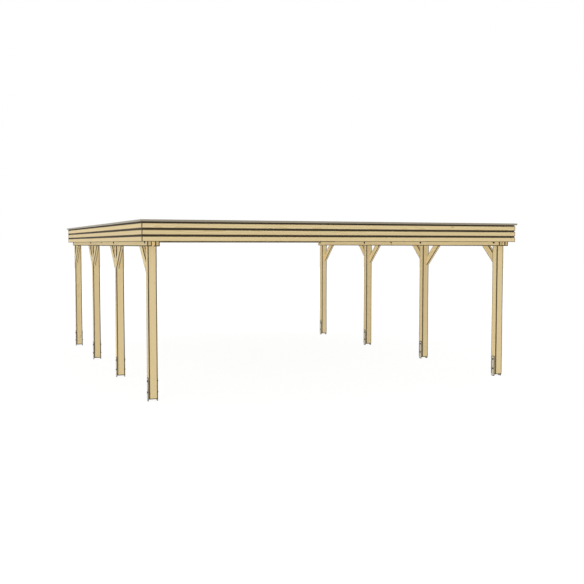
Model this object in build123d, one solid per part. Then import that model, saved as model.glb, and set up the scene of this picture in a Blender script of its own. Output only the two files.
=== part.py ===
from build123d import *
import math
import os

os.makedirs("parts", exist_ok=True)

# Sizes in millimetres. Z is up, the front faces -Y, and the origin is the middle
# of the footprint at ground level.

# Posts: two rows of square timbers, cut back at the top to a tongue
post_side = 120
span_over_posts = 5686
post_pitch = 2194
post_lift = 33
passage_height = 2068
tongue_thick = 45
timber_arris = 4

# Ground anchors: two straps joined by a plate that carries the post
strap_thick = 6
strap_wide = 70
strap_high = 320
strap_corner = 12
plate_thick = 8

# Twin beams on each row, in two lengths joined by a stepped lap
beam_thick = 60
beam_high = 120
beam_front_reach = 83
beam_rear_reach = 50
lap_long = 65

# Knee braces under the outer beam, flush with the outer post face
brace_thick = 45
brace_deep = 120
brace_reach = 390
brace_high = 356

# Rafters across both rows, seated deeper towards the rear to give the fall
rafter_wide = 60
rafter_high = 140
roof_fall = 50
seat_gap = 0.3

# Fascia of three open boards on upright bearers, with a dark backing sheet between
board_thick = 20
board_high = 70
board_gap = 17
board_arris = 2
fascia_lift = 63
fascia_side_reach = 107
fascia_front_reach = 147
bearer_wide = 60
bearer_lift = 10
side_bearer_thick = 22
rear_bearer_thick = 18
backing_thick = 2

# Folded metal cap over the fascia
cap_overhang = 22
cap_metal = 2
cap_cover = 68
cap_high = 27
cap_inner_high = 46
cap_gap = 17

# Profiled roof sheets, lapped rib over rib
sheet_metal = 1.2
rib_high = 20
rib_top = 40
rib_flank = 18
lap_gap = 0.3
lap_setback = 2
sheet_side_clear = 18
sheet_end_gap = 2
drip_long = 14

# Numbers of repeated pieces
posts_a_row = 4
rafter_count = 9
board_count = 3
end_bearer_count = 8
sheet_count = 5
ribs_a_sheet = 6

# Heights that follow from the sizes above
beam_top_z = passage_height + beam_high
beam_mid_z = passage_height + beam_high / 2
fascia_foot_z = passage_height + fascia_lift
board_pitch = board_high + board_gap
fascia_top_z = fascia_foot_z + (board_count - 1) * board_pitch + board_high
cap_foot_z = fascia_top_z + cap_gap
cap_top_z = cap_foot_z + cap_high
bearer_foot_z = fascia_foot_z + bearer_lift
bearer_top_z = cap_top_z - cap_metal

# Widths
row_x = (span_over_posts - post_side) / 2
pair_half = tongue_thick / 2 + beam_thick
fascia_half_x = span_over_posts / 2 + fascia_side_reach
board_back_x = fascia_half_x - board_thick
bearer_face_x = board_back_x - backing_thick
rafter_half_x = bearer_face_x - side_bearer_thick
sheet_half_x = rafter_half_x - sheet_side_clear

# Depths, front to rear
depth_over_posts = (posts_a_row - 1) * post_pitch + post_side
skin_thick = board_thick + backing_thick
fascia_rear_reach = beam_rear_reach + rear_bearer_thick + skin_thick
fascia_depth = fascia_front_reach + depth_over_posts + fascia_rear_reach
front_y = -fascia_depth / 2
rear_y = fascia_depth / 2
first_post_y = front_y + fascia_front_reach + post_side / 2
post_ys = [first_post_y + i * post_pitch for i in range(posts_a_row)]
beam_front_y = post_ys[0] - post_side / 2 - beam_front_reach
beam_rear_y = post_ys[-1] + post_side / 2 + beam_rear_reach
beam_long = beam_rear_y - beam_front_y
lap_y = (beam_front_y + beam_rear_y) / 2
first_rafter_y = beam_front_y + rafter_wide / 2
last_rafter_y = beam_rear_y - rafter_wide / 2
rafter_pitch = (last_rafter_y - first_rafter_y) / (rafter_count - 1)
rafter_ys = [first_rafter_y + i * rafter_pitch for i in range(rafter_count)]
slope = roof_fall / (last_rafter_y - first_rafter_y)
past = 1

sides = {"left": -1, "right": 1}
stations = ["front", "mid_front", "mid_rear", "rear"]
brace_ways = {"front": [1], "mid_front": [-1, 1], "mid_rear": [-1, 1], "rear": [-1]}


def block(x0, x1, y0, y1, z0, z1):
    """A box between two corners."""
    centre = Location(((x0 + x1) / 2, (y0 + y1) / 2, (z0 + z1) / 2))
    return centre * Box(abs(x1 - x0), abs(y1 - y0), abs(z1 - z0))


def section(wide, high, arris):
    """A sawn section with its four arrises taken off."""
    outline = Rectangle(wide, high)
    return chamfer(outline.vertices(), arris)


def timber_y(x0, x1, y0, y1, z0, z1, arris):
    """A timber that runs along Y, with its long arrises taken off."""
    plane = Plane(origin=((x0 + x1) / 2, y0, (z0 + z1) / 2), x_dir=(-1, 0, 0), z_dir=(0, 1, 0))
    return extrude(plane * section(abs(x1 - x0), z1 - z0, arris), y1 - y0)


def timber_x(x0, x1, y0, y1, z0, z1, arris):
    """A timber that runs along X, with its long arrises taken off."""
    plane = Plane(origin=(x0, (y0 + y1) / 2, (z0 + z1) / 2), x_dir=(0, 1, 0), z_dir=(1, 0, 0))
    return extrude(plane * section(y1 - y0, z1 - z0, arris), x1 - x0)


def roof_z(y):
    """Height of the rafter tops, which fall from front to rear."""
    return beam_top_z + rafter_high - slope * (y - first_rafter_y)


def save(shape, name):
    export_step(shape, "parts/" + name + ".step")


# Post: a shaft up to the shoulders that carry the beams, and the tongue between them
def post(x, y):
    foot = Plane(origin=(x, y, post_lift))
    shaft = extrude(foot * section(post_side, post_side, timber_arris), passage_height - post_lift)
    half = post_side / 2
    half_tongue = tongue_thick / 2
    tongue = block(x - half_tongue, x + half_tongue, y - half, y + half, passage_height, beam_top_z)
    return shaft + tongue


# Anchor: a strap on each side of the post, standing on the ground, and the plate under the post
def anchor(x, y):
    strap = Location((0, 0, strap_high / 2)) * Box(strap_thick, strap_wide, strap_high)
    top_corners = strap.edges().filter_by(Axis.X).group_by(Axis.Z)[-1]
    strap = fillet(top_corners, strap_corner)
    offset_x = (post_side + strap_thick) / 2
    half = post_side / 2
    half_wide = strap_wide / 2
    plate = block(x - half, x + half, y - half_wide, y + half_wide, post_lift - plate_thick, post_lift)
    return Location((x - offset_x, y, 0)) * strap + plate + Location((x + offset_x, y, 0)) * strap


# Beam: the upper half of the front length laps over the lower half of the rear length
def beam(side, face, length):
    near_x = side * (row_x + face * tongue_thick / 2)
    far_x = side * (row_x + face * pair_half)
    x0, x1 = sorted([near_x, far_x])
    half_lap = lap_long / 2
    if length == "front":
        body = timber_y(x0, x1, beam_front_y, lap_y + half_lap, passage_height, beam_top_z, timber_arris)
        rebate = block(x0, x1, lap_y - half_lap, lap_y + half_lap, passage_height, beam_mid_z)
    else:
        body = timber_y(x0, x1, lap_y - half_lap, beam_rear_y, passage_height, beam_top_z, timber_arris)
        rebate = block(x0, x1, lap_y - half_lap, lap_y + half_lap, beam_mid_z, beam_top_z)
    return body - rebate


# Brace: a slanted timber cut plumb at the post and level under the beam
def brace(side, y, way):
    post_face_y = y + way * post_side / 2
    run = math.hypot(brace_reach, brace_high)
    along = Vector(0, way * brace_reach / run, brace_high / run)
    across = Vector(0, -way * brace_high / run, brace_reach / run)
    middle_x = side * (span_over_posts - brace_thick) / 2
    foot = Vector(middle_x, post_face_y, passage_height - brace_high)
    start = foot + across * (brace_deep / 2) - along * brace_deep
    plane = Plane(origin=start, x_dir=(1, 0, 0), z_dir=along)
    bar = extrude(plane * section(brace_thick, brace_deep, timber_arris), run + 2 * brace_deep)
    reach_y = post_face_y + way * (brace_reach + past)
    keep = block(
        middle_x - brace_thick,
        middle_x + brace_thick,
        min(post_face_y, reach_y),
        max(post_face_y, reach_y),
        passage_height - brace_high - past,
        passage_height,
    )
    return bar & keep


# Rafter: the top follows the fall and the underside is notched over both pairs of beams
def rafter(y):
    y0 = y - rafter_wide / 2
    y1 = y + rafter_wide / 2
    foot_z = roof_z(y) - rafter_high
    outline = make_face(Polyline((y0, foot_z), (y1, foot_z), (y1, roof_z(y1)), (y0, roof_z(y0)), close=True))
    outline = chamfer(outline.vertices(), timber_arris)
    plane = Plane(origin=(-rafter_half_x, 0, 0), x_dir=(0, 1, 0), z_dir=(1, 0, 0))
    body = extrude(plane * outline, 2 * rafter_half_x)
    half_seat = pair_half + seat_gap
    if foot_z < beam_top_z:
        for side in sides.values():
            x = side * row_x
            body -= block(x - half_seat, x + half_seat, y0 - past, y1 + past, foot_z - past, beam_top_z)
    return body


for side_name, side in sides.items():
    for station, y in zip(stations, post_ys):
        save(post(side * row_x, y), "post_" + side_name + "_" + station)
        save(anchor(side * row_x, y), "anchor_" + side_name + "_" + station)
        braces = [brace(side, y, way) for way in brace_ways[station]]
        save(Compound(braces), "brace_" + side_name + "_" + station)
    for face_name, face in {"outer": 1, "inner": -1}.items():
        for length in ["front", "rear"]:
            save(beam(side, face, length), "beam_" + side_name + "_" + face_name + "_" + length)

save(Compound([rafter(y) for y in rafter_ys]), "rafters")

# Fascia: the front and rear boards and their backing run through, with the side boards between them
board_feet = [fascia_foot_z + i * board_pitch for i in range(board_count)]


def end_boards(y0):
    y1 = y0 + board_thick
    boards = []
    for z in board_feet:
        boards.append(timber_x(-fascia_half_x, fascia_half_x, y0, y1, z, z + board_high, board_arris))
    return Compound(boards)


def side_boards(side):
    x0, x1 = sorted([side * board_back_x, side * fascia_half_x])
    y0 = front_y + skin_thick
    y1 = rear_y - skin_thick
    return Compound([timber_y(x0, x1, y0, y1, z, z + board_high, board_arris) for z in board_feet])


save(end_boards(front_y), "fascia_front")
save(end_boards(rear_y - board_thick), "fascia_rear")
for side_name, side in sides.items():
    save(side_boards(side), "fascia_" + side_name)

# Bearers: one on each rafter end, and a row along the first and the last rafter
side_bearers = []
for side in sides.values():
    for y in rafter_ys:
        y0 = y - bearer_wide / 2
        y1 = y + bearer_wide / 2
        x0, x1 = side * rafter_half_x, side * bearer_face_x
        side_bearers.append(block(x0, x1, y0, y1, bearer_foot_z, bearer_top_z))
save(Compound(side_bearers), "fascia_bearers_sides")

bearer_span = 2 * rafter_half_x - bearer_wide
bearer_step = bearer_span / (end_bearer_count - 1)
bearer_xs = [-bearer_span / 2 + i * bearer_step for i in range(end_bearer_count)]
end_bearers = []
for x in bearer_xs:
    x0 = x - bearer_wide / 2
    x1 = x + bearer_wide / 2
    end_bearers.append(block(x0, x1, front_y + skin_thick, beam_front_y, bearer_foot_z, bearer_top_z))
    end_bearers.append(block(x0, x1, beam_rear_y, rear_y - skin_thick, bearer_foot_z, bearer_top_z))
save(Compound(end_bearers), "fascia_bearers_ends")

# Backing: a sheet on each side that closes the gaps between the boards from behind
inner_front_y = front_y + board_thick
inner_rear_y = rear_y - board_thick
skin_front_y = front_y + skin_thick
skin_rear_y = rear_y - skin_thick
backing = []
for y0, y1 in [(inner_front_y, skin_front_y), (skin_rear_y, inner_rear_y)]:
    backing.append(block(-fascia_half_x, fascia_half_x, y0, y1, bearer_foot_z, bearer_top_z))
for side in sides.values():
    x0, x1 = side * bearer_face_x, side * board_back_x
    backing.append(block(x0, x1, skin_front_y, skin_rear_y, bearer_foot_z, bearer_top_z))
save(Compound(backing), "fascia_backing")


# Cap: one folded section for all four sides, mitred at the corners
def cap(length):
    lip_z = cap_top_z - cap_inner_high
    outline = Polyline(
        (-cap_overhang, cap_foot_z),
        (-cap_overhang, cap_top_z),
        (cap_cover, cap_top_z),
        (cap_cover, lip_z),
        (cap_cover - cap_metal, lip_z),
        (cap_cover - cap_metal, bearer_top_z),
        (cap_metal - cap_overhang, bearer_top_z),
        (cap_metal - cap_overhang, cap_foot_z),
        close=True,
    )
    half = length / 2 + cap_overhang
    plane = Plane(origin=(-half, 0, 0), x_dir=(0, 1, 0), z_dir=(1, 0, 0))
    bar = extrude(plane * make_face(outline), 2 * half)
    inner_half = half - cap_overhang - cap_cover
    mitre = Polyline(
        (-half, -cap_overhang),
        (half, -cap_overhang),
        (inner_half, cap_cover),
        (-inner_half, cap_cover),
        close=True,
    )
    return bar & extrude(Plane(origin=(0, 0, lip_z)) * make_face(mitre), cap_inner_high)


save(Location((0, front_y, 0)) * cap(2 * fascia_half_x), "cap_front")
save(Location((0, rear_y, 0), (0, 0, 180)) * cap(2 * fascia_half_x), "cap_rear")
save(Location((-fascia_half_x, 0, 0), (0, 0, -90)) * cap(fascia_depth), "cap_left")
save(Location((fascia_half_x, 0, 0), (0, 0, 90)) * cap(fascia_depth), "cap_right")

# Roof sheets: ribs run down the fall, and each sheet's first rib lies over its neighbour's last
sheet_front_y = beam_front_y + sheet_end_gap
sheet_rear_y = beam_rear_y + drip_long
rib_count = sheet_count * ribs_a_sheet
rib_pitch = 2 * sheet_half_x / rib_count
rib_half_foot = rib_top / 2 + rib_flank
lap_lift = sheet_metal + lap_gap


def rib_x(index):
    return -sheet_half_x + (index + 0.5) * rib_pitch


def sheet_underside(number):
    """Underside of one sheet, from left to right, as (x, z) points."""
    first = number * ribs_a_sheet
    points = []
    if number == 0:
        points.append((-sheet_half_x, 0))
    for index in range(first, first + ribs_a_sheet):
        x = rib_x(index)
        over = lap_lift if index == first and number > 0 else 0
        points.append((x - rib_half_foot, over))
        points.append((x - rib_top / 2, rib_high + over))
        points.append((x + rib_top / 2, rib_high + over))
        points.append((x + rib_half_foot, 0))
    if number == sheet_count - 1:
        points.append((sheet_half_x, 0))
    else:
        x = rib_x(first + ribs_a_sheet)
        points.append((x - rib_half_foot, 0))
        points.append((x - rib_top / 2, rib_high))
        points.append((x + rib_top / 2 - lap_setback, rib_high))
    return points


def sheet(number):
    under = sheet_underside(number)
    upper = [(x, z + sheet_metal) for x, z in reversed(under)]
    angle = math.atan(slope)
    along = (0, math.cos(angle), -math.sin(angle))
    plane = Plane(origin=(0, sheet_front_y, roof_z(sheet_front_y)), x_dir=(-1, 0, 0), z_dir=along)
    outline = Polyline(*[(-x, z) for x, z in under + upper], close=True)
    body = extrude(plane * make_face(outline), (sheet_rear_y - sheet_front_y) / math.cos(angle))
    for x in bearer_xs:
        half = bearer_wide / 2 + sheet_end_gap
        y0 = beam_rear_y - sheet_end_gap
        body -= block(x - half, x + half, y0, rear_y, fascia_foot_z, fascia_top_z)
    return body


save(Compound([sheet(i) for i in range(sheet_count)]), "roof_sheets")
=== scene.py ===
import math

import bpy
from bpy.props import FloatProperty, FloatVectorProperty, PointerProperty
from bpy.types import Operator, Panel, PropertyGroup
from mathutils import Matrix, Vector


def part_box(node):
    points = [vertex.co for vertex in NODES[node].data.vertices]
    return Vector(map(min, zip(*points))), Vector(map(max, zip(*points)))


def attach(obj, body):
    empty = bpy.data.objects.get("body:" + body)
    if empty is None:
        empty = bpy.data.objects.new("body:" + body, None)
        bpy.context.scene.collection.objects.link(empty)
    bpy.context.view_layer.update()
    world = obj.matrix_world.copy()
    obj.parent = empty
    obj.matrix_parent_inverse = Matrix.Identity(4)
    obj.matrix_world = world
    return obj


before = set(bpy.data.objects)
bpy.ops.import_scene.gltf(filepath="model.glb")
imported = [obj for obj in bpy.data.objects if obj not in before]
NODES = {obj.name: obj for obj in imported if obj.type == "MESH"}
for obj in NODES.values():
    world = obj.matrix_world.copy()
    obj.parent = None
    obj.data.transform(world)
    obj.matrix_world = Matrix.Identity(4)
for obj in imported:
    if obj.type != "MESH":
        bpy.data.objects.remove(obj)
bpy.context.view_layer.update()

bl_info = {
    "name": "Timber carport",
    "version": (1, 0, 0),
    "blender": (4, 5, 0),
    "location": "View3D > Sidebar > Carport",
    "description": "Finishes, fixings and stage for a flat-roofed double carport",
    "category": "Add Mesh",
}

STATIONS = ("front", "mid_front", "mid_rear", "rear")
SIDES = {"left": -1.0, "right": 1.0}

# Sizes in metres and counts that the frame's boxes don't give
RAFTER_WIDE = 0.060
RAFTER_HIGH = 0.140
RAFTER_COUNT = 9
BOARD_HIGH = 0.070
BOARD_COUNT = 3
BEARER_WIDE = 0.060
END_BEARER_COUNT = 8
BRACE_DEEP = 0.120
RIB_COUNT = 30
LAP_LONG = 0.065
STRAP_THICK = 0.006

# How far the painted shade reaches at a lap's step and on the straps' rims, and how far beyond a post's ends
# its arrises are taken to run, because a foot on its plate, which is painted dark as shade, gets less painted
# shade
LAP_SHADE_REACH = 0.010
RIM_WIDE = 0.014
POST_END_CLEAR = 0.006

# How far the painted shade along the arrises reaches on each kind of timber, as a share of its reach on the
# posts
EDGE_SHADE_SHARE = {"post": 1.0, "beam": 0.9, "brace": 0.7, "rafter": 0.5, "bearer": 0.5, "board": 0.55}

# Seeds that give each kind of timber its own grain
SEED = {"brace": 40, "rafter": 61, "bearer": 71, "board": 81}

# How the wood is drawn: stretches of its patterns across and along the grain, lengths in metres, and
# the share of the pattern's cells that hold no knot
WANDER_STRETCH = (3.0, 3.0, 0.55)
WANDER_WIDE = 0.085
KNOT_STRETCH = (5.5, 5.5, 2.1)
KNOT_RARITY = 0.72
KNOT_BEND = 0.016
FIBRE_STRETCH = (420.0, 420.0, 7.0)
STREAK_STRETCH = (34.0, 34.0, 0.9)
PITH_ASIDE = 0.16
PITH_NEAR = 0.05
PITH_SPREAD = 0.09
WOOD_RELIEF = 0.0003
METAL_RELIEF = 0.00004

# Heights of a bolt's head and nut as shares of the width across the flats, and of its thread as a
# share of the shank
HEAD_HIGH = 0.32
NUT_HIGH = 0.36
THREAD_LONG = 0.25

# Metallic share, roughness, flakes a metre, contrast and share of dust of the finishes in MetalLook
METALS = {
    "anchor": (0.35, 0.45, 110.0, 0.22, 0.0),
    "bracket": (0.6, 0.4, 120.0, 0.25, 0.0),
    "bolt": (0.5, 0.42, 300.0, 0.25, 0.0),
    "screw": (0.6, 0.45, 300.0, 0.15, 0.0),
    "roof_screw": (0.7, 0.38, 300.0, 0.15, 0.0),
    "cap": (0.2, 0.42, 400.0, 0.05, 0.5),
    # The backing is a dark sheet behind the boards' gaps: painted shade
    "backing": (0.0, 0.7, 200.0, 0.12, 0.12),
    "roof": (0.1, 0.42, 500.0, 0.06, 0.75),
    "seal": (0.0, 0.75, 600.0, 0.2, 0.0),
}

# Stretches of the rain's streaks: across a sheet, and along a cap that runs with X or with Y
SHEET_STREAKS = (30.0, 1.5, 10.0)
CAP_STREAKS = {"front": (2.0, 14.0, 6.0), "left": (14.0, 2.0, 6.0)}

# Shares of a brace's length where its screws sit
BRACE_SCREWS_AT = (0.14, 0.86)

# The way that each side of the fascia faces along X and Y
EDGES = {"front": (0.0, -1.0), "rear": (0.0, 1.0), "left": (-1.0, 0.0), "right": (1.0, 0.0)}

WHITE = (1.0, 1.0, 1.0, 1.0)

# Tilt and turn in degrees of each lamp, how far its light spreads, and whether it casts a shadow
LAMPS = {
    "key": (58.0, -40.0, 25.0, True),
    "fill": (84.0, -48.0, 20.0, False),
    "back": (84.0, 132.0, 20.0, False),
    "below": (180.0, 0.0, 20.0, False),
}

# Euler turns that lay a timber's grain along Z
GRAIN_TURN = {
    "x": (0.0, -math.pi / 2, 0.0),
    "y": (math.pi / 2, 0.0, 0.0),
    "z": (0.0, 0.0, 0.0),
}


def colour_property(name, description, default):
    return FloatVectorProperty(
        name=name, description=description, default=default, subtype="COLOR", min=0.0, max=1.0, size=3
    )


def length_property(name, description, default):
    return FloatProperty(
        name=name, description=description, default=default, unit="LENGTH", subtype="DISTANCE", precision=4
    )


def share_property(name, description, default):
    return FloatProperty(
        name=name, description=description, default=default, min=0.0, max=1.0, subtype="FACTOR"
    )


def number_property(name, description, default, unit="NONE"):
    return FloatProperty(name=name, description=description, default=default, unit=unit)


class TimberLook(PropertyGroup):
    """Colours and grain of the posts, beams, braces, rafters and boards."""

    early_wood: colour_property("Early wood", "Pale wood between the rings", (0.70, 0.570, 0.325))
    late_wood: colour_property("Late wood", "Darker wood of the rings", (0.57, 0.430, 0.205))
    knot: colour_property("Knot", "Wood of the knots", (0.30, 0.19, 0.085))
    # The arris colour is painted shade along the timbers' edges and in the gaps between the boards
    arris: colour_property("Arris", "Stain along the sawn arrises", (0.032, 0.021, 0.009))
    ring_width: length_property("Ring width", "Width of one year's growth", 0.0065)
    arris_width: length_property("Arris width", "How far the stain reaches in from the posts' arrises", 0.018)
    arris_shade: share_property("Arris shade", "How dark the arrises are", 0.95)


class MetalLook(PropertyGroup):
    """Colours of the anchors, brackets, bolts, screws, cap and sheets."""

    anchor: colour_property("Anchor", "Zinc on the ground anchors", (0.56, 0.50, 0.38))
    bracket: colour_property("Bracket", "Zinc on the rafter brackets", (0.55, 0.54, 0.51))
    bolt: colour_property("Bolt", "Dark coating on bolts, nuts and washers", (0.030, 0.028, 0.025))
    screw: colour_property("Screw", "Steel of the timber screws", (0.50, 0.45, 0.36))
    roof_screw: colour_property("Roof screw", "Zinc on the roof screws", (0.55, 0.54, 0.51))
    cap: colour_property("Cap", "Coated aluminium of the cap", (0.27, 0.235, 0.175))
    # Painted shade: the dark sheets stand behind the open boards, where only shade would show
    backing: colour_property("Backing", "Dark sheets behind the open boards", (0.034, 0.025, 0.012))
    # The rim colour is painted shade on the anchors' rims and on the plate under each post
    rim: colour_property("Rim", "Dull rims and plates of the anchors", (0.05, 0.044, 0.032))
    roof: colour_property("Roof sheet", "Coating of the roof sheets", (0.23, 0.235, 0.235))
    dust: colour_property("Dust", "Dust and rain marks on metal", (0.33, 0.30, 0.24))
    seal: colour_property("Seal", "Rubber washers under the roof screws", (0.03, 0.03, 0.03))


class FixingSizes(PropertyGroup):
    """Sizes of bolts, screws and brackets."""

    beam_bolt: length_property("Beam bolt", "Width across the flats of the beam bolts", 0.024)
    beam_washer: length_property("Beam washer", "Diameter of the washers under the beam bolts", 0.050)
    anchor_bolt: length_property("Anchor bolt", "Width across the flats of the anchor bolts", 0.019)
    anchor_washer: length_property("Anchor washer", "Diameter of the washers at the anchors", 0.030)
    upper_bolt_height: length_property("Upper anchor bolt", "Height of the upper anchor bolts", 0.268)
    lower_bolt_height: length_property("Lower anchor bolt", "Height of the lower anchor bolts", 0.118)
    board_screw: length_property("Board screw", "Diameter of the screw heads in the boards", 0.008)
    board_screw_inset: length_property("Board screw inset", "Way from a screw to the board's edge", 0.018)
    timber_screw: length_property("Timber screw", "Diameter of the screw heads in braces and laps", 0.014)
    roof_screw: length_property("Roof screw", "Width across the flats of the roof screws", 0.008)
    roof_seal: length_property("Roof seal", "Diameter of the rubber washers", 0.018)
    bracket_leg: length_property("Bracket leg", "Length of the rafter brackets' legs", 0.060)
    bracket_wide: length_property("Bracket width", "Width of the rafter brackets", 0.050)
    bracket_metal: length_property("Bracket metal", "Thickness of the rafter brackets", 0.0025)
    bracket_screw: length_property("Bracket screw", "Diameter of the screw heads in the brackets", 0.009)


class StageLook(PropertyGroup):
    """Camera, lamps and floor."""

    lens: number_property("Lens", "Focal length in millimetres", 51.12)
    eye: FloatVectorProperty(
        name="Eye", description="Place of the camera", default=(-5.3088, -14.1504, 2.0987), unit="LENGTH"
    )
    heading: number_property("Heading", "Turn of the view from +Y towards +X", 0.3960, "ROTATION")
    dip: number_property("Dip", "Fall of the view below level", 0.0578, "ROTATION")
    sky: number_property("Sky", "Strength of the even light", 0.38)
    key: number_property("Key", "Strength of the soft key lamp", 0.25)
    fill: number_property("Fill", "Strength of the low fill lamp, which casts no shadow", 2.45)
    back: number_property("Back", "Strength of a like lamp from behind", 1.60)
    below: number_property("Below", "Strength of a like lamp from below", 0.70)
    floor: colour_property("Floor", "Colour of the plain floor", (0.93, 0.93, 0.92))
    floor_veil: share_property("Floor veil", "Share of plain white over the floor near the posts", 0.80)
    floor_white: number_property("Floor white", "Strength of the plain white", 1.13)
    floor_near: length_property("Floor near", "Radius within which the veil is thinnest", 3.5)
    floor_far: length_property("Floor far", "Radius beyond which the floor is plain white", 15.0)
    floor_radius: length_property("Floor radius", "Radius of the floor", 60.0)


# Shader trees


class Wiring:
    """Adds nodes to one shader tree and joins their sockets."""

    def __init__(self, tree):
        self.tree = tree

    def feed(self, socket, value):
        if isinstance(value, bpy.types.NodeSocket):
            self.tree.links.new(value, socket)
        else:
            socket.default_value = value

    def node(self, kind, inputs=None, **settings):
        made = self.tree.nodes.new(kind)
        for key, value in settings.items():
            setattr(made, key, value)
        for key, value in (inputs or {}).items():
            self.feed(made.inputs[key], value)
        return made

    def maths(self, operation, *values):
        made = self.node("ShaderNodeMath", operation=operation)
        for socket, value in zip(made.inputs, values):
            self.feed(socket, value)
        return made.outputs[0]

    def plus(self, first, second):
        return self.maths("ADD", first, second)

    def minus(self, first, second):
        return self.maths("SUBTRACT", first, second)

    def times(self, first, second):
        return self.maths("MULTIPLY", first, second)

    def vector(self, operation, *values):
        made = self.node("ShaderNodeVectorMath", operation=operation)
        for socket, value in zip(made.inputs, values):
            self.feed(socket, value)
        return made.outputs["Value" if operation == "LENGTH" else "Vector"]

    def split(self, vector):
        return self.node("ShaderNodeSeparateXYZ", {"Vector": vector}).outputs

    def join(self, x, y, z):
        return self.node("ShaderNodeCombineXYZ", {"X": x, "Y": y, "Z": z}).outputs[0]

    def grey(self, value):
        return self.join(value, value, value)

    def ramp(self, value, low, high):
        """0 below low, 1 above high, with a smooth step between."""
        settings = {"Value": value, "From Min": low, "From Max": high}
        return self.node("ShaderNodeMapRange", settings, interpolation_type="SMOOTHSTEP").outputs["Result"]

    def fall(self, value, low, high):
        """1 below low, 0 above high, with a smooth step between."""
        return self.minus(1.0, self.ramp(value, low, high))

    def noise(self, vector, scale, detail=2.0, roughness=0.5):
        settings = {"Vector": vector, "Scale": scale, "Detail": detail, "Roughness": roughness}
        return self.node("ShaderNodeTexNoise", settings).outputs[0]

    def blend(self, factor, first, second, blend_type="MIX"):
        made = self.node("ShaderNodeMix", data_type="RGBA", blend_type=blend_type)
        # For colours the node takes its factor at 0 and the colours at 6 and 7, and gives the result at 2
        self.feed(made.inputs[0], factor)
        self.feed(made.inputs[6], first)
        self.feed(made.inputs[7], second)
        return made.outputs[2]

    def here(self):
        """The place and the facing of the point that is shaded."""
        coordinates = self.node("ShaderNodeTexCoord").outputs
        return {"Place": coordinates["Object"], "Facing": coordinates["Normal"]}

    def use(self, group, inputs):
        made = self.node("ShaderNodeGroup", node_tree=group)
        for key, value in inputs.items():
            self.feed(made.inputs[key], value)
        return made.outputs


def opaque(colour):
    return (*colour, 1.0)


def new_group(name, inputs, outputs):
    """A node group with named sockets. Returns its wiring, its inputs and its outputs."""
    tree = bpy.data.node_groups.new(name, "ShaderNodeTree")
    kinds = {"colour": "NodeSocketColor", "value": "NodeSocketFloat", "vector": "NodeSocketVector"}
    for socket_name, kind, default in inputs:
        socket = tree.interface.new_socket(socket_name, in_out="INPUT", socket_type=kinds[kind])
        socket.default_value = default
    for socket_name, kind in outputs:
        tree.interface.new_socket(socket_name, in_out="OUTPUT", socket_type=kinds[kind])
    given = tree.nodes.new("NodeGroupInput").outputs
    result = tree.nodes.new("NodeGroupOutput").inputs
    return Wiring(tree), given, result


def timber_place_group():
    """Turns a place on the carport into a place in one piece of a row, with a timber's grain along Z."""
    wiring, given, result = new_group(
        "Timber Place",
        [
            ("Place", "vector", (0.0, 0.0, 0.0)),
            ("Facing", "vector", (0.0, 0.0, 1.0)),
            ("Centre", "vector", (0.0, 0.0, 0.0)),
            ("Spacing", "vector", (0.0, 0.0, 0.0)),
            ("Rise", "value", 0.0),
            ("Mirror", "value", 0.0),
            ("Offset", "vector", (0.0, 0.0, 0.0)),
            ("Turn", "vector", (0.0, 0.0, 0.0)),
            ("Seed", "value", 0.0),
        ],
        [("Place", "vector"), ("Facing", "vector"), ("Seed", "value")],
    )
    # The number of steps to the nearest piece of the row, and the place measured from that piece
    from_centre = wiring.vector("SUBTRACT", given["Place"], given["Centre"])
    steps = wiring.vector("DIVIDE", from_centre, given["Spacing"])
    cell = wiring.vector("FLOOR", wiring.vector("ADD", steps, (0.5, 0.5, 0.5)))
    local = wiring.vector("SUBTRACT", from_centre, wiring.vector("MULTIPLY", cell, given["Spacing"]))
    x, y, z = wiring.split(local)
    z = wiring.minus(z, wiring.times(wiring.split(cell)[1], given["Rise"]))

    # Braces stand in mirrored pairs: the second one is flipped on to the first
    side = wiring.maths("SIGN", y)
    flip = wiring.plus(1.0, wiring.times(given["Mirror"], wiring.minus(side, 1.0)))
    place = wiring.vector("SUBTRACT", wiring.join(x, wiring.times(y, flip), z), given["Offset"])
    face_x, face_y, face_z = wiring.split(given["Facing"])
    facing = wiring.join(face_x, wiring.times(face_y, flip), face_z)
    for name, vector in (("Place", place), ("Facing", facing)):
        turned = wiring.node(
            "ShaderNodeVectorRotate", {"Vector": vector, "Rotation": given["Turn"]}, rotation_type="EULER_XYZ"
        )
        wiring.feed(result[name], turned.outputs[0])
    numbered = wiring.vector("ADD", cell, wiring.join(given["Seed"], flip, 0.0))
    chance = wiring.node("ShaderNodeTexWhiteNoise", {"Vector": numbered}, noise_dimensions="3D")
    wiring.feed(result["Seed"], chance.outputs["Value"])
    return wiring.tree


def rim_group():
    """How near a point of a squared piece is to its arrises: 1 on the arris, 0 beyond the width."""
    wiring, given, result = new_group(
        "Rim",
        [
            ("Place", "vector", (0.0, 0.0, 0.0)),
            ("Half Size", "vector", (1.0, 1.0, 1.0)),
            ("Width", "value", 0.01),
            ("Ragged", "value", 0.0),
        ],
        [("Mask", "value")],
    )
    # On a face one of the three depths is nothing, and the next smallest is the way to the nearest arris
    from_middle = wiring.vector("ABSOLUTE", given["Place"])
    depths = wiring.split(wiring.vector("SUBTRACT", given["Half Size"], from_middle))
    least = wiring.maths("MINIMUM", depths[0], depths[1])
    most = wiring.maths("MAXIMUM", depths[0], depths[1])
    inward = wiring.maths("MAXIMUM", least, wiring.maths("MINIMUM", most, depths[2]))
    reach = wiring.plus(wiring.maths("DIVIDE", inward, given["Width"]), given["Ragged"])
    wiring.feed(result["Mask"], wiring.fall(reach, 0.6, 1.0))
    return wiring.tree


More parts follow.
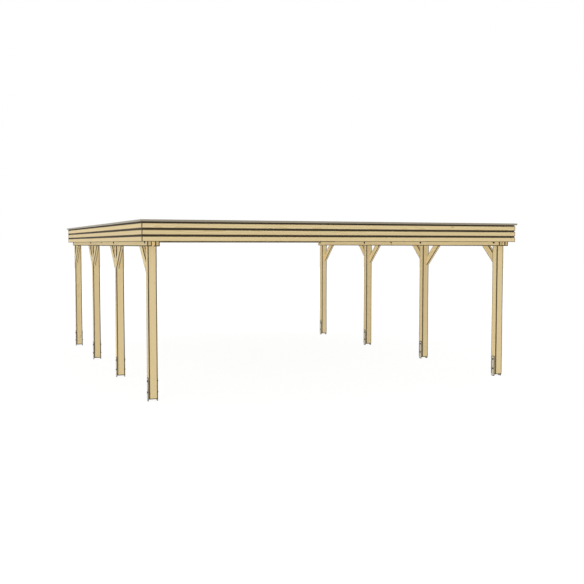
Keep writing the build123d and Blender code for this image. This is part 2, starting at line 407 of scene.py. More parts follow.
def softwood_group():
    """Planed softwood: rings, fibres, knots, end grain, and painted shade along the arrises."""
    wiring, given, result = new_group(
        "Softwood",
        [
            ("Place", "vector", (0.0, 0.0, 0.0)),
            ("Facing", "vector", (0.0, 0.0, 1.0)),
            ("Seed", "value", 0.0),
            ("Half Size", "vector", (1.0, 1.0, 1.0)),
            ("Early Wood", "colour", (0.7, 0.6, 0.4, 1.0)),
            ("Late Wood", "colour", (0.6, 0.45, 0.25, 1.0)),
            ("Knot", "colour", (0.3, 0.2, 0.1, 1.0)),
            ("Arris", "colour", (0.15, 0.1, 0.05, 1.0)),
            ("Ring Width", "value", 0.006),
            ("Arris Width", "value", 0.008),
            ("Arris Shade", "value", 0.5),
        ],
        [("Colour", "colour"), ("Roughness", "value"), ("Height", "value")],
    )
    # The seed moves the pattern, so that no two timbers are alike
    seed = given["Seed"]
    shift = wiring.join(*[wiring.times(seed, spread) for spread in (37.0, 91.0, 53.0)])
    place = wiring.vector("ADD", given["Place"], shift)
    slow = wiring.vector("MULTIPLY", place, WANDER_STRETCH)
    wander = wiring.times(wiring.minus(wiring.noise(slow, 1.0), 0.5), WANDER_WIDE)

    # A few cells of a stretched pattern hold a knot, and the rings bend round it
    stretched = wiring.vector("MULTIPLY", place, KNOT_STRETCH)
    cells = wiring.node("ShaderNodeTexVoronoi", {"Vector": stretched, "Scale": 1.0})
    chosen = wiring.maths("GREATER_THAN", wiring.split(cells.outputs["Color"])[0], KNOT_RARITY)
    away = cells.outputs["Distance"]
    knot = wiring.times(wiring.fall(away, 0.03, 0.11), chosen)
    around = wiring.times(wiring.fall(away, 0.05, 0.34), chosen)
    bend = wiring.times(around, KNOT_BEND)

    # The pith lies somewhere beside the middle of each timber
    x, y, _ = wiring.split(given["Place"])
    aside = wiring.minus(wiring.maths("FRACT", wiring.times(seed, 7.3)), 0.5)
    below = wiring.maths("FRACT", wiring.times(seed, 3.7))
    pith_x = wiring.plus(x, wiring.times(aside, PITH_ASIDE))
    pith_y = wiring.plus(y, wiring.plus(PITH_NEAR, wiring.times(below, PITH_SPREAD)))
    radius = wiring.vector("LENGTH", wiring.join(pith_x, pith_y, 0.0))
    radius = wiring.plus(radius, wiring.plus(wander, bend))
    year = wiring.maths("FRACT", wiring.maths("DIVIDE", radius, given["Ring Width"]))
    late = wiring.times(wiring.ramp(year, 0.35, 0.92), wiring.fall(year, 0.94, 1.0))

    # Late wood, broad streaks and fine fibres each darken the wood by a share
    fibre = wiring.noise(wiring.vector("MULTIPLY", place, FIBRE_STRETCH), 1.0, 3.0, 0.6)
    streak = wiring.noise(wiring.vector("MULTIPLY", place, STREAK_STRETCH), 1.0, 3.0, 0.55)
    dark = wiring.plus(wiring.times(late, 0.42), wiring.times(streak, 0.50))
    dark = wiring.plus(dark, wiring.times(wiring.minus(fibre, 0.5), 0.34))
    wood = wiring.blend(wiring.ramp(dark, 0.0, 1.0), given["Early Wood"], given["Late Wood"])
    tint = wiring.plus(0.955, wiring.times(seed, 0.09))
    wood = wiring.blend(1.0, wood, wiring.grey(tint), "MULTIPLY")
    wood = wiring.blend(wiring.times(knot, 0.7), wood, given["Knot"])

    # Cut ends are darker than the planed faces
    end = wiring.ramp(wiring.split(wiring.vector("ABSOLUTE", given["Facing"]))[2], 0.55, 0.75)
    wood = wiring.blend(wiring.times(end, 0.40), wood, given["Late Wood"])

    # The painted shade along the arrises, also in the gaps between boards, follows the streaks so that its
    # edge is ragged
    ragged = wiring.times(wiring.minus(streak, 0.5), 0.35)
    rim = {"Place": given["Place"], "Half Size": given["Half Size"], "Width": given["Arris Width"]}
    painted_edge_shade = wiring.use(shared_group("Rim", rim_group), {**rim, "Ragged": ragged})["Mask"]
    wood = wiring.blend(wiring.times(painted_edge_shade, given["Arris Shade"]), wood, given["Arris"])

    wiring.feed(result["Colour"], wood)
    rough = wiring.plus(0.56, wiring.times(fibre, 0.16))
    wiring.feed(result["Roughness"], wiring.plus(rough, wiring.times(end, 0.15)))
    height = wiring.minus(wiring.times(late, 0.5), wiring.times(fibre, 0.8))
    wiring.feed(result["Height"], wiring.plus(height, wiring.times(knot, 0.6)))
    return wiring.tree


def metal_bloom_group():
    """Coated or galvanised metal: flakes and a dull film."""
    wiring, given, result = new_group(
        "Metal Bloom",
        [
            ("Place", "vector", (0.0, 0.0, 0.0)),
            ("Metal", "colour", (0.5, 0.5, 0.5, 1.0)),
            ("Flakes A Metre", "value", 100.0),
            ("Contrast", "value", 0.2),
            ("Roughness", "value", 0.4),
        ],
        [("Colour", "colour"), ("Roughness", "value"), ("Height", "value")],
    )
    flakes = wiring.node("ShaderNodeTexVoronoi", {"Vector": given["Place"], "Scale": given["Flakes A Metre"]})
    flake = wiring.split(flakes.outputs["Color"])[0]
    film = wiring.noise(given["Place"], 9.0, 4.0, 0.6)
    both = wiring.plus(wiring.times(flake, 0.5), film)
    change = wiring.times(wiring.minus(both, 0.75), given["Contrast"])
    level = wiring.plus(1.0, change)
    wiring.feed(result["Colour"], wiring.blend(1.0, given["Metal"], wiring.grey(level), "MULTIPLY"))
    dulled = wiring.minus(given["Roughness"], wiring.times(change, 0.5))
    wiring.feed(result["Roughness"], dulled)
    wiring.feed(result["Height"], wiring.plus(flake, film))
    return wiring.tree


def rain_dust_group():
    """Where dust has settled and rain has run: a mask from streaks and patches on upward faces."""
    wiring, given, result = new_group(
        "Rain Dust",
        [
            ("Place", "vector", (0.0, 0.0, 0.0)),
            ("Facing", "vector", (0.0, 0.0, 1.0)),
            ("Streaks A Metre", "vector", SHEET_STREAKS),
            ("Amount", "value", 0.5),
        ],
        [("Mask", "value")],
    )
    streak = wiring.noise(wiring.vector("MULTIPLY", given["Place"], given["Streaks A Metre"]), 1.0, 3.0, 0.55)
    patch = wiring.noise(given["Place"], 1.7, 4.0, 0.6)
    both = wiring.plus(wiring.times(streak, 0.6), wiring.times(patch, 0.6))
    level = wiring.ramp(wiring.split(given["Facing"])[2], 0.2, 0.95)
    upward = wiring.plus(0.35, wiring.times(level, 0.65))
    settled = wiring.times(upward, given["Amount"])
    wiring.feed(result["Mask"], wiring.times(wiring.ramp(both, 0.42, 0.82), settled))
    return wiring.tree


def shared_group(name, maker):
    """The node group of that name, built the first time it is asked for."""
    return bpy.data.node_groups.get(name) or maker()


def new_material(name):
    material = bpy.data.materials.new(name)
    material.use_nodes = True
    material.node_tree.nodes.clear()
    wiring = Wiring(material.node_tree)
    shader = wiring.node("ShaderNodeBsdfPrincipled")
    output = wiring.node("ShaderNodeOutputMaterial")
    wiring.feed(output.inputs["Surface"], shader.outputs["BSDF"])
    return material, wiring, shader


def add_bump(wiring, shader, height, distance):
    bump = wiring.node("ShaderNodeBump", {"Height": height, "Distance": distance, "Strength": 1.0})
    wiring.feed(shader.inputs["Normal"], bump.outputs["Normal"])


def finish_timber(node, kind, seed, centre, half_size, turn, joint=None, **placing):
    """Gives a timber its own wood, or a row of like timbers that stand a spacing apart theirs.

    joint is the middle of a stepped lap in the timber, where shade is painted.
    """
    look = bpy.context.scene.carport_timber
    material, wiring, shader = new_material(node)
    here = wiring.here()
    placed = wiring.use(
        shared_group("Timber Place", timber_place_group),
        {**here, "Centre": centre, "Turn": turn, "Seed": seed, **placing},
    )
    wood = wiring.use(
        shared_group("Softwood", softwood_group),
        {
            "Place": placed["Place"],
            "Facing": placed["Facing"],
            "Seed": placed["Seed"],
            "Half Size": half_size,
            "Early Wood": opaque(look.early_wood),
            "Late Wood": opaque(look.late_wood),
            "Knot": opaque(look.knot),
            "Arris": opaque(look.arris),
            "Ring Width": look.ring_width,
            "Arris Width": look.arris_width * EDGE_SHADE_SHARE[kind],
            "Arris Shade": look.arris_shade,
        },
    )
    colour = wood["Colour"]
    if joint:
        # Shade is painted at the step of the lap, where the two beams meet; the step lies level between its
        # two upright ends
        _, along, level = wiring.split(wiring.vector("SUBTRACT", here["Place"], joint))
        beyond = wiring.minus(wiring.maths("ABSOLUTE", along), LAP_LONG / 2)
        far = wiring.maths("MAXIMUM", beyond, wiring.maths("ABSOLUTE", level))
        step = wiring.fall(wiring.maths("DIVIDE", far, LAP_SHADE_REACH), 0.5, 1.0)
        colour = wiring.blend(wiring.times(step, look.arris_shade), colour, opaque(look.arris))
    wiring.feed(shader.inputs["Base Color"], colour)
    wiring.feed(shader.inputs["Roughness"], wood["Roughness"])
    shader.inputs["Specular IOR Level"].default_value = 0.3
    add_bump(wiring, shader, wood["Height"], WOOD_RELIEF)
    finish_node(node, material)


def metal_material(name, kind, streaks=SHEET_STREAKS):
    """Metal, or rubber, with the finish of its kind."""
    look = bpy.context.scene.carport_metal
    metallic, roughness, flakes, contrast, dust = METALS[kind]
    material, wiring, shader = new_material(name)
    here = wiring.here()
    bloom = wiring.use(
        shared_group("Metal Bloom", metal_bloom_group),
        {
            "Place": here["Place"],
            "Metal": opaque(getattr(look, kind)),
            "Flakes A Metre": flakes,
            "Contrast": contrast,
            "Roughness": roughness,
        },
    )
    skin, rough = bloom["Colour"], bloom["Roughness"]
    if dust:
        group = shared_group("Rain Dust", rain_dust_group)
        mask = wiring.use(group, {**here, "Streaks A Metre": streaks, "Amount": dust})["Mask"]
        skin = wiring.blend(mask, skin, opaque(look.dust))
        rough = wiring.plus(rough, wiring.times(mask, 0.35))
    wiring.feed(shader.inputs["Base Color"], skin)
    wiring.feed(shader.inputs["Roughness"], rough)
    shader.inputs["Metallic"].default_value = metallic
    add_bump(wiring, shader, bloom["Height"], METAL_RELIEF)
    return material


def shade_rims(material, centre, spacing, half_size):
    """Paints shade on the rims of a row of like anchors and on the plate between their straps."""
    wiring = Wiring(material.node_tree)
    shader = wiring.tree.nodes["Principled BSDF"]
    skin = shader.inputs["Base Color"].links[0].from_socket
    placing = {**wiring.here(), "Centre": centre, "Spacing": spacing}
    placed = wiring.use(shared_group("Timber Place", timber_place_group), placing)
    rim = {"Place": placed["Place"], "Half Size": half_size, "Width": RIM_WIDE}
    mask = wiring.use(shared_group("Rim", rim_group), rim)["Mask"]
    aside = wiring.maths("ABSOLUTE", wiring.split(placed["Place"])[0])
    strap = half_size[0] - STRAP_THICK
    soft = 0.001
    plate = wiring.fall(aside, strap - soft, strap)
    mask = wiring.maths("MAXIMUM", mask, plate)
    rim_shade_colour = opaque(bpy.context.scene.carport_metal.rim)
    wiring.feed(shader.inputs["Base Color"], wiring.blend(mask, skin, rim_shade_colour))


def finish_node(name, material):
    """Gives a carried-over solid its finish in every slot."""
    mesh = NODES[name].data
    if not mesh.materials:
        mesh.materials.append(material)
    for index in range(len(mesh.materials)):
        mesh.materials[index] = material


# Places on the frame


def middle(node):
    low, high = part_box(node)
    return (low + high) / 2


def half_along(size, grain):
    """Half of a size, in the order that the grain's turn puts the axes."""
    x, y, z = size / 2
    return {"x": (z, y, x), "y": (x, z, y), "z": (x, y, z)}[grain]


def spaced(first, last, count):
    return [first + (last - first) * i / (count - 1) for i in range(count)]


def rafter_places():
    low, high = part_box("rafters")
    return spaced(low.y + RAFTER_WIDE / 2, high.y - RAFTER_WIDE / 2, RAFTER_COUNT)


def end_bearer_places():
    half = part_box("rafters")[1].x - BEARER_WIDE / 2
    return spaced(-half, half, END_BEARER_COUNT)


def board_middles(node):
    low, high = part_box(node)
    return spaced(low.z + BOARD_HIGH / 2, high.z - BOARD_HIGH / 2, BOARD_COUNT)


def brace_ways(side, station):
    """The ways along Y in which braces leave a post."""
    low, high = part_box(f"brace_{side}_{station}")
    post = middle(f"post_{side}_{station}")
    return [way for way, there in ((-1.0, low.y < post.y), (1.0, high.y > post.y)) if there]


def brace_size(side, station):
    """How far one brace reaches along its beam, and how far it drops down its post."""
    low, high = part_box(f"brace_{side}_{station}")
    post_low, post_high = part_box(f"post_{side}_{station}")
    return max(high.y - post_high.y, post_low.y - low.y), high.z - low.z


def stand_on(point, outward, up=(0.0, 0.0, 1.0)):
    """A frame at a point, with Z outward and Y as near to up as it goes."""
    z = Vector(outward).normalized()
    y = Vector(up) - z * z.dot(Vector(up))
    y = y.normalized() if y.length > 1e-6 else z.orthogonal().normalized()
    turn = Matrix((y.cross(z), y, z)).transposed().to_4x4()
    return Matrix.Translation(Vector(point)) @ turn


def meet(node, start, direction):
    """A frame where a straight line first meets a solid, facing back along the line."""
    direction = Vector(direction)
    found, point, _, _ = NODES[node].ray_cast(Vector(start), direction)
    if not found:
        raise RuntimeError(f"nothing of {node} lies ahead of {tuple(start)}")
    return stand_on(point, -direction)


def two_across(low, high):
    """The inner two of four places spread evenly between two ends."""
    return spaced(low, high, 4)[1:3]


# Small meshes


def ring(radius, height, corners):
    turns = [math.tau * i / corners for i in range(corners)]
    return [(radius * math.cos(turn), radius * math.sin(turn), height) for turn in turns]


def stack(rings):
    """A closed mesh of rings with equal counts, capped at both ends."""
    corners = len(rings[0])
    points = [point for each in rings for point in each]
    faces = [tuple(reversed(range(corners)))]
    for level in range(len(rings) - 1):
        base = level * corners
        for i in range(corners):
            after = (i + 1) % corners
            faces.append((base + i, base + after, base + corners + after, base + corners + i))
    last = (len(rings) - 1) * corners
    faces.append(tuple(range(last, last + corners)))
    return points, faces


def washer(diameter, thick, corners=28):
    radius = diameter / 2
    soft = thick * 0.25
    outline = ((radius, 0.0), (radius, thick - soft), (radius - soft, thick))
    return stack([ring(wide, height, corners) for wide, height in outline])


def hexagon_head(across, high, base):
    """A six-sided head whose corners are turned off at the top."""
    corner = across / 2 / math.cos(math.pi / 6)
    outline = ((corner, base), (corner, base + high * 0.82), (across * 0.46, base + high))
    return stack([ring(wide, height, 6) for wide, height in outline])


def thread(diameter, long, base, turns, corners=18):
    """The end of a bolt, with its thread as ridges."""
    radius = diameter / 2
    pitch = long / turns
    rings = []
    for i in range(turns):
        rings.append(ring(radius * 0.88, base + i * pitch, corners))
        rings.append(ring(radius, base + (i + 0.5) * pitch, corners))
    rings.append(ring(radius * 0.80, base + long, corners))
    return stack(rings)


def screw_head(diameter, corners=18):
    """A low round head with a socket."""
    radius = diameter / 2
    high = diameter * 0.12
    shares = ((1.0, -1.0), (1.0, 0.4), (0.78, 1.0), (0.42, 1.0), (0.36, -0.8))
    return stack([ring(radius * wide, high * height, corners) for wide, height in shares])


def bent_strip(spine, widths, thick):
    """A strip of sheet metal whose spine is bent in the YZ plane, with a width at each spine point."""
    points, faces = [], []
    for i, (place, wide) in enumerate(zip(spine, widths)):
        before = Vector(spine[max(i - 1, 0)])
        after = Vector(spine[min(i + 1, len(spine) - 1)])
        along = (after - before).normalized()
        across = Vector((-along.y, along.x))
        for offset in (0.0, thick):
            y, z = Vector(place) + across * offset
            points += [(-wide / 2, y, z), (wide / 2, y, z)]
    for i in range(len(spine) - 1):
        a, b = 4 * i, 4 * i + 4
        faces += [
            (a, a + 1, b + 1, b),
            (a + 2, b + 2, b + 3, a + 3),
            (a, b, b + 2, a + 2),
            (a + 1, a + 3, b + 3, b + 1),
        ]
    last = 4 * (len(spine) - 1)
    faces += [(0, 2, 3, 1), (last, last + 1, last + 3, last + 2)]
    return points, faces


def moved(mesh, matrix):
    points, faces = mesh
    return [tuple(matrix @ Vector(point)) for point in points], faces


def together(*meshes):
    points, faces = [], []
    for more_points, more_faces in meshes:
        offset = len(points)
        points += more_points
        faces += [tuple(i + offset for i in face) for face in more_faces]
    return points, faces


def fixings(name, template, frames, material):
    """One piece that holds a copy of a small mesh at each frame."""
    points, faces = together(*[moved(template, matrix) for matrix in frames])
    mesh = bpy.data.meshes.new(name)
    mesh.from_pydata(points, [], faces)
    mesh.validate()
    mesh.shade_smooth()
    mesh.set_sharp_from_angle(angle=math.radians(32))
    mesh.materials.append(material)
    piece = bpy.data.objects.new(name, mesh)
    bpy.context.scene.collection.objects.link(piece)
    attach(piece, "root")


def bolt_and_nut(across, washer_wide, shank, thick):
    """The head end of a bolt and its nut end, each on a washer."""
    head = together(washer(washer_wide, thick), hexagon_head(across, across * HEAD_HIGH, thick))
    high = across * NUT_HIGH
    end = thread(shank, shank * THREAD_LONG, thick + high, 2)
    nut = together(washer(washer_wide, thick), hexagon_head(across, high, thick), end)
    return head, nut


# Operators


class CARPORT_OT_posts_and_beams(Operator):
    """Give the posts, knee braces and twin beams their grain"""

    bl_idname = "carport.posts_and_beams"
    bl_label = "Posts and beams"

    def execute(self, context):
        seed = 0
        for side in SIDES:
            for station in STATIONS:
                seed += 1
                self.post(f"post_{side}_{station}", seed)
                self.brace(side, station, seed + SEED["brace"])
            for face in ("outer", "inner"):
                for length in ("front", "rear"):
                    seed += 1
                    self.beam(f"beam_{side}_{face}_{length}", length, seed)
        return {"FINISHED"}

    def post(self, node, seed):
        low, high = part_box(node)
        wide, deep, tall = half_along(high - low, "z")
        half = (wide, deep, tall + POST_END_CLEAR)
        finish_timber(node, "post", seed, middle(node), half, GRAIN_TURN["z"])

    def beam(self, node, length, seed):
        low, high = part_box(node)
        centre = middle(node)
        half = half_along(high - low, "y")
        lap = high.y - LAP_LONG / 2 if length == "front" else low.y + LAP_LONG / 2
        joint = (centre.x, lap, centre.z)
        finish_timber(node, "beam", seed, centre, half, GRAIN_TURN["y"], joint)

    def brace(self, side, station, seed):
        node = f"brace_{side}_{station}"
        low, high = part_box(node)
        post_low, post_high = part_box(f"post_{side}_{station}")
        reach, drop = brace_size(side, station)
        run = math.hypot(reach, drop)
        across = Vector((0.0, -drop, reach)) / run
        half_post = (post_high.y - post_low.y) / 2
        centre = Vector(((low.x + high.x) / 2, (post_low.y + post_high.y) / 2, low.z))
        offset = Vector((0.0, half_post, 0.0)) + across * BRACE_DEEP / 2
        half = ((high.x - low.x) / 2, BRACE_DEEP / 2, run)
        turn = (math.atan2(reach, drop), 0.0, 0.0)
        finish_timber(node, "brace", seed, centre, half, turn, Mirror=1.0, Offset=offset)


class CARPORT_OT_rafters(Operator):
    """Give the rafters and the fascia's bearers their grain"""

    bl_idname = "carport.rafters"
    bl_label = "Rafters and bearers"

    def execute(self, context):
        low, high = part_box("rafters")
        places = rafter_places()
        pitch = places[1] - places[0]
        rise = -(high.z - low.z - RAFTER_HIGH) / (RAFTER_COUNT - 1)
        centre = Vector((0.0, places[0], high.z - RAFTER_HIGH / 2))
        half = half_along(Vector((high.x - low.x, RAFTER_WIDE, RAFTER_HIGH)), "x")
        placing = {"Spacing": (0.0, pitch, 0.0), "Rise": rise}
        finish_timber("rafters", "rafter", SEED["rafter"], centre, half, GRAIN_TURN["x"], **placing)
        self.bearers("fascia_bearers_sides", high.x, pitch)
        self.bearers("fascia_bearers_ends", high.x, 0.0)
        return {"FINISHED"}

    def bearers(self, node, rafter_end, pitch):
        low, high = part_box(node)
        tall = (high.z - low.z) / 2
        if pitch:
            half = Vector(((high.x - rafter_end) / 2, BEARER_WIDE / 2, tall))
            spacing = (2 * (rafter_end + half.x), pitch, 0.0)
        else:
            step = end_bearer_places()[1] - end_bearer_places()[0]
            half = Vector((BEARER_WIDE / 2, (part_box("rafters")[0].y - low.y) / 2, tall))
            spacing = (step, high.y - low.y - 2 * half.y, 0.0)
        finish_timber(node, "bearer", SEED["bearer"], low + half, half, GRAIN_TURN["z"], Spacing=spacing)


class CARPORT_OT_fascia(Operator):
    """Give the fascia boards their grain, paint the backing behind them dark as the shade in their gaps, and
    screw them on
    """

    bl_idname = "carport.fascia"
    bl_label = "Fascia boards"

    def execute(self, context):
        for number, (edge, (_, out_y)) in enumerate(EDGES.items()):
            node = f"fascia_{edge}"
            grain = "x" if out_y else "y"
            low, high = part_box(node)
            levels = board_middles(node)
            size = Vector((high.x - low.x, high.y - low.y, BOARD_HIGH))
            centre = Vector(((low.x + high.x) / 2, (low.y + high.y) / 2, levels[0]))
            spacing = (0.0, 0.0, levels[1] - levels[0])
            half = half_along(size, grain)
            seed = SEED["board"] + number
            finish_timber(node, "board", seed, centre, half, GRAIN_TURN[grain], Spacing=spacing)
        # The dark backing sheet behind the boards is painted shade in their gaps
        finish_node("fascia_backing", metal_material("backing_sheet", "backing"))
        self.screws(context.scene.carport_fixings)
        return {"FINISHED"}

    def screws(self, sizes):
        steel = metal_material("screw_steel", "screw")
        head = screw_head(sizes.board_screw, 14)
        inset = BOARD_HIGH / 2 - sizes.board_screw_inset
        heights = [level + way * inset for level in board_middles("fascia_front") for way in (-1.0, 1.0)]
        for edge, (out_x, out_y) in EDGES.items():
            low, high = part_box(f"fascia_{edge}")
            face = low if out_x + out_y < 0 else high
            points = []
            for height in heights:
                if out_y:
                    points += [(x, face.y, height) for x in end_bearer_places()]
                else:
                    points += [(face.x, y, height) for y in rafter_places()]
            places = [stand_on(point, (out_x, out_y, 0.0)) for point in points]
            fixings(f"fascia_screws_{edge}", head, places, steel)


class CARPORT_OT_metal(Operator):
    """Finish the ground anchors and the cap"""

    bl_idname = "carport.metal"
    bl_label = "Anchors and cap"

    def execute(self, context):
        zinc = metal_material("anchor_zinc", "anchor")
        low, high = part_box("anchor_left_front")
        first, second = middle("anchor_left_front"), middle("anchor_left_mid_front")
        spacing = (2 * abs(first.x), second.y - first.y, 0.0)
        # Painted shade on the anchors' rims and plates
        shade_rims(zinc, first, spacing, (high - low) / 2)
        for side in SIDES:
            for station in STATIONS:
                finish_node(f"anchor_{side}_{station}", zinc)
        for edge, opposite in (("front", "rear"), ("left", "right")):
            coating = metal_material(f"cap_coating_{edge}", "cap", CAP_STREAKS[edge])
            finish_node(f"cap_{edge}", coating)
            finish_node(f"cap_{opposite}", coating)
        return {"FINISHED"}


class CARPORT_OT_beam_bolts(Operator):
    """Bolt the twin beams to every post head and screw their laps together"""

    bl_idname = "carport.beam_bolts"
    bl_label = "Beam bolts"

    def execute(self, context):
        sizes = context.scene.carport_fixings
        dark = metal_material("bolt_black", "bolt")
        head, nut = bolt_and_nut(sizes.beam_bolt, sizes.beam_washer, shank=0.016, thick=0.004)
        for side, sign in SIDES.items():
            heads, nuts = [], []
            for station in STATIONS:
                post = middle(f"post_{side}_{station}")
                length = "front" if station in STATIONS[:2] else "rear"
                height = middle(f"beam_{side}_outer_{length}").z
                far = Vector((2 * post.x, post.y, height))
                near = Vector((0.0, post.y, height))
                heads.append(meet(f"beam_{side}_outer_{length}", far, (-sign, 0.0, 0.0)))
                nuts.append(meet(f"beam_{side}_inner_{length}", near, (sign, 0.0, 0.0)))
            fixings(f"beam_bolts_{side}", head, heads, dark)
            fixings(f"beam_nuts_{side}", nut, nuts, dark)
        self.lap_screws(sizes)
        return {"FINISHED"}

    def lap_screws(self, sizes):
        places = []
        for side in SIDES:
            for face in ("outer", "inner"):
                low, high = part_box(f"beam_{side}_{face}_rear")
                for x in two_across(low.x, high.x):
                    places.append(stand_on((x, low.y + LAP_LONG / 2, low.z), (0.0, 0.0, -1.0)))
        steel = metal_material("lap_screw_steel", "screw")
        fixings("lap_screws", screw_head(sizes.timber_screw), places, steel)


class CARPORT_OT_brace_screws(Operator):
    """Put two screws through each end of every knee brace"""

    bl_idname = "carport.brace_screws"
    bl_label = "Brace screws"

    def execute(self, context):
        sizes = context.scene.carport_fixings
        steel = metal_material("brace_screw_steel", "screw")
        for side in SIDES:
            places = []
            for station in STATIONS:
                for way in brace_ways(side, station):
                    places += self.places(side, station, way)
            fixings(f"brace_screws_{side}", screw_head(sizes.timber_screw), places, steel)
        return {"FINISHED"}

    def places(self, side, station, way):
        low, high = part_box(f"brace_{side}_{station}")
        post_low, post_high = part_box(f"post_{side}_{station}")
        reach, drop = brace_size(side, station)
        foot_y = post_high.y if way > 0 else post_low.y
        outward = Vector((0.0, way * drop, -reach)).normalized()
        found = []
        for share in BRACE_SCREWS_AT:
            for x in two_across(low.x, high.x):
                point = Vector((x, foot_y + way * reach * share, low.z + drop * share))
                found.append(stand_on(point, outward))
        return found


class CARPORT_OT_anchor_bolts(Operator):
    """Put two bolts through both straps of every anchor"""

    bl_idname = "carport.anchor_bolts"
    bl_label = "Anchor bolts"

    def execute(self, context):
        sizes = context.scene.carport_fixings
        dark = metal_material("anchor_bolt_black", "bolt")
        head, nut = bolt_and_nut(sizes.anchor_bolt, sizes.anchor_washer, shank=0.012, thick=0.0025)
        for side, sign in SIDES.items():
            heads, nuts = [], []
            for station in STATIONS:
                node = f"anchor_{side}_{station}"
                centre = middle(node)
                for height in (sizes.lower_bolt_height, sizes.upper_bolt_height):
                    outside = Vector((centre.x + sign, centre.y, height))
                    inside = Vector((centre.x - sign, centre.y, height))
                    heads.append(meet(node, outside, (-sign, 0.0, 0.0)))
                    nuts.append(meet(node, inside, (sign, 0.0, 0.0)))
            fixings(f"anchor_bolts_{side}", head, heads, dark)
            fixings(f"anchor_nuts_{side}", nut, nuts, dark)
        return {"FINISHED"}


class CARPORT_OT_rafter_brackets(Operator):
    """Hold every rafter to the beams with angle brackets"""

    bl_idname = "carport.rafter_brackets"
    bl_label = "Rafter brackets"

    def execute(self, context):
        sizes = context.scene.carport_fixings
        zinc = metal_material("bracket_zinc", "bracket")
        template = self.bracket(sizes)
        places = rafter_places()
        for side in SIDES:
            frames = []
            for face in ("outer", "inner"):
                low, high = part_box(f"beam_{side}_{face}_front")
                x = (low.x + high.x) / 2
                for number, y in enumerate(places):
                    # A bracket stands behind its rafter, but in front of the last one, where the beam ends
                    way = -1.0 if number == len(places) - 1 else 1.0
                    corner = (x, y + way * RAFTER_WIDE / 2, high.z)
                    frames.append(stand_on(corner, (0.0, 0.0, 1.0), (0.0, way, 0.0)))
            fixings(f"rafter_brackets_{side}", template, frames, zinc)
        return {"FINISHED"}

    def bracket(self, sizes):
        """One bracket: Y runs along the beam, Z up the rafter, and each leg has four screws."""
        leg, thick, wide = sizes.bracket_leg, sizes.bracket_metal, sizes.bracket_wide
        bend = 2 * thick
        lift = 0.0004
        corner = 0.008
        spine = [(leg, lift), (leg - corner, lift), (bend, lift)]
        for i in range(1, 5):
            turn = math.pi / 2 * i / 4
            spine.append((bend - bend * math.sin(turn) + lift, lift + bend - bend * math.cos(turn)))
        spine += [(lift, leg - corner), (lift, leg)]
        narrow = wide - 2 * corner
        widths = [narrow] + [wide] * (len(spine) - 2) + [narrow]
        strip = bent_strip(spine, widths, -thick)
        head = screw_head(sizes.bracket_screw, 12)
        screws = []
        for x in (-wide / 4, wide / 4):
            for along in (leg * 0.45, leg * 0.8):
                screws.append(moved(head, stand_on((x, along, lift + thick), (0.0, 0.0, 1.0))))
                screws.append(moved(head, stand_on((x, lift + thick, along), (0.0, 1.0, 0.0))))
        return together(strip, *screws)


class CARPORT_OT_roof(Operator):
    """Finish the roof sheets and screw them to the rafters through their ribs"""

    bl_idname = "carport.roof"
    bl_label = "Roof sheets"

    def execute(self, context):
        sizes = context.scene.carport_fixings
        finish_node("roof_sheets", metal_material("roof_coating", "roof"))
        steel = metal_material("roof_screw_steel", "roof_screw")
        seal = metal_material("seal_rubber", "seal")
        low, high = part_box("roof_sheets")
        pitch = (high.x - low.x) / RIB_COUNT
        frames = []
        for rib in range(0, RIB_COUNT, 2):
            x = low.x + (rib + 0.5) * pitch
            for y in rafter_places():
                frames.append(meet("roof_sheets", (x, y, high.z + 1.0), (0.0, 0.0, -1.0)))
        seal_thick, flange_thick, head_high = 0.002, 0.001, 0.005
        fixings("roof_seals", washer(sizes.roof_seal, seal_thick, 16), frames, seal)
        flange = washer(sizes.roof_seal * 0.8, flange_thick, 16)
        flange = moved(flange, Matrix.Translation((0.0, 0.0, seal_thick)))
        head = together(flange, hexagon_head(sizes.roof_screw, head_high, seal_thick + flange_thick))
        fixings("roof_screws", head, frames, steel)
        return {"FINISHED"}


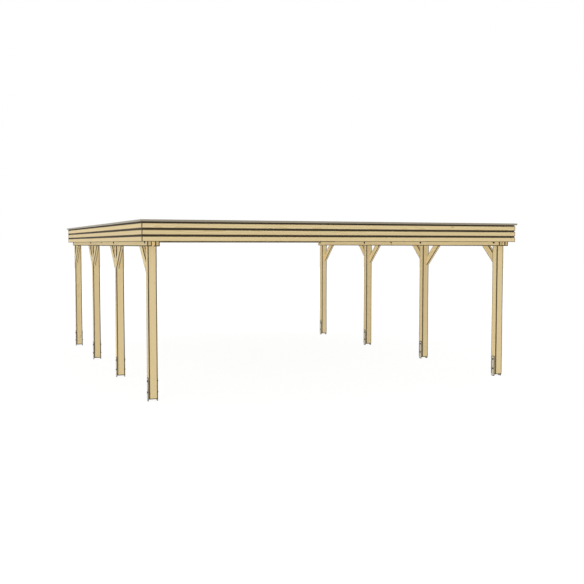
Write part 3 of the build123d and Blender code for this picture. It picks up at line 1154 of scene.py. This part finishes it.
class CARPORT_OT_stage(Operator):
    """Lay the floor and set the lamps and the camera"""

    bl_idname = "carport.stage"
    bl_label = "Stage"

    def execute(self, context):
        look = context.scene.carport_stage
        self.floor(look)
        self.world(look)
        for name, aim in LAMPS.items():
            self.lamp(name, getattr(look, name), *aim)
        self.camera(look)
        context.scene.view_settings.view_transform = "Standard"
        return {"FINISHED"}

    def floor(self, look):
        mesh = bpy.data.meshes.new("floor")
        mesh.from_pydata(ring(look.floor_radius, 0.0, 96), [], [tuple(range(96))])
        material, wiring, shader = new_material("floor_plain")
        shader.inputs["Base Color"].default_value = opaque(look.floor)
        shader.inputs["Roughness"].default_value = 0.95
        shader.inputs["Specular IOR Level"].default_value = 0.0
        away = wiring.vector("LENGTH", wiring.node("ShaderNodeTexCoord").outputs["Object"])
        veil = wiring.node(
            "ShaderNodeMapRange",
            {
                "Value": away,
                "From Min": look.floor_near,
                "From Max": look.floor_far,
                "To Min": look.floor_veil,
                "To Max": 1.0,
            },
            interpolation_type="SMOOTHSTEP",
        )
        white = wiring.node("ShaderNodeEmission", {"Color": WHITE, "Strength": look.floor_white})
        mixed = wiring.node("ShaderNodeMixShader")
        wiring.feed(mixed.inputs[0], wiring.times(veil.outputs["Result"], self.seen(wiring)))
        wiring.feed(mixed.inputs[1], shader.outputs["BSDF"])
        wiring.feed(mixed.inputs[2], white.outputs["Emission"])
        wiring.feed(wiring.tree.nodes["Material Output"].inputs["Surface"], mixed.outputs[0])
        mesh.materials.append(material)
        floor = bpy.data.objects.new("floor", mesh)
        bpy.context.scene.collection.objects.link(floor)

    def seen(self, wiring):
        """1 for rays from the camera, from a mirror or through glass."""
        rays = wiring.node("ShaderNodeLightPath").outputs
        seen = wiring.maths("MAXIMUM", rays["Is Camera Ray"], rays["Is Glossy Ray"])
        return wiring.maths("MAXIMUM", seen, rays["Is Transmission Ray"])

    def world(self, look):
        world = bpy.data.worlds.new("plain_sky")
        world.use_nodes = True
        world.node_tree.nodes.clear()
        wiring = Wiring(world.node_tree)
        limits = {"To Min": look.sky, "To Max": 1.0}
        strength = wiring.node("ShaderNodeMapRange", {"Value": self.seen(wiring), **limits}).outputs[0]
        sky = wiring.node("ShaderNodeBackground", {"Color": WHITE, "Strength": strength})
        wiring.feed(wiring.node("ShaderNodeOutputWorld").inputs["Surface"], sky.outputs["Background"])
        bpy.context.scene.world = world

    def lamp(self, name, strength, tilt, turn, spread, shadow):
        data = bpy.data.lights.new(name, "SUN")
        data.energy = strength
        data.angle = math.radians(spread)
        data.use_shadow = shadow
        lamp = bpy.data.objects.new(name, data)
        lamp.rotation_euler = (math.radians(tilt), 0.0, math.radians(turn))
        lamp.visible_glossy = shadow
        bpy.context.scene.collection.objects.link(lamp)

    def camera(self, look):
        data = bpy.data.cameras.new("camera")
        data.sensor_width = 36.0
        data.lens = look.lens
        data.clip_end = 200.0
        camera = bpy.data.objects.new("camera", data)
        camera.location = look.eye
        camera.rotation_euler = (math.pi / 2 - look.dip, 0.0, -look.heading)
        bpy.context.scene.collection.objects.link(camera)
        bpy.context.scene.camera = camera


OPERATORS = (
    CARPORT_OT_posts_and_beams,
    CARPORT_OT_rafters,
    CARPORT_OT_fascia,
    CARPORT_OT_metal,
    CARPORT_OT_beam_bolts,
    CARPORT_OT_brace_screws,
    CARPORT_OT_anchor_bolts,
    CARPORT_OT_rafter_brackets,
    CARPORT_OT_roof,
    CARPORT_OT_stage,
)
GROUPS = {
    "carport_timber": TimberLook,
    "carport_metal": MetalLook,
    "carport_fixings": FixingSizes,
    "carport_stage": StageLook,
}


class CARPORT_PT_panel(Panel):
    """Lists the steps that dress the carport"""

    bl_idname = "CARPORT_PT_panel"
    bl_label = "Carport"
    bl_space_type = "VIEW_3D"
    bl_region_type = "UI"
    bl_category = "Carport"

    def draw(self, context):
        for operator in OPERATORS:
            self.layout.operator(operator.bl_idname)
        for name, kind in GROUPS.items():
            box = self.layout.box()
            for key in kind.__annotations__:
                box.prop(getattr(context.scene, name), key)


def register():
    for kind in (*GROUPS.values(), *OPERATORS, CARPORT_PT_panel):
        bpy.utils.register_class(kind)
    for name, kind in GROUPS.items():
        setattr(bpy.types.Scene, name, PointerProperty(type=kind))


def unregister():
    for name in GROUPS:
        delattr(bpy.types.Scene, name)
    for kind in reversed((*GROUPS.values(), *OPERATORS, CARPORT_PT_panel)):
        bpy.utils.unregister_class(kind)


def main():
    register()
    bpy.ops.carport.posts_and_beams()
    bpy.ops.carport.rafters()
    bpy.ops.carport.fascia()
    bpy.ops.carport.metal()
    bpy.ops.carport.beam_bolts()
    bpy.ops.carport.brace_screws()
    bpy.ops.carport.anchor_bolts()
    bpy.ops.carport.rafter_brackets()
    bpy.ops.carport.roof()
    bpy.ops.carport.stage()


if __name__ == "__main__":
    main()
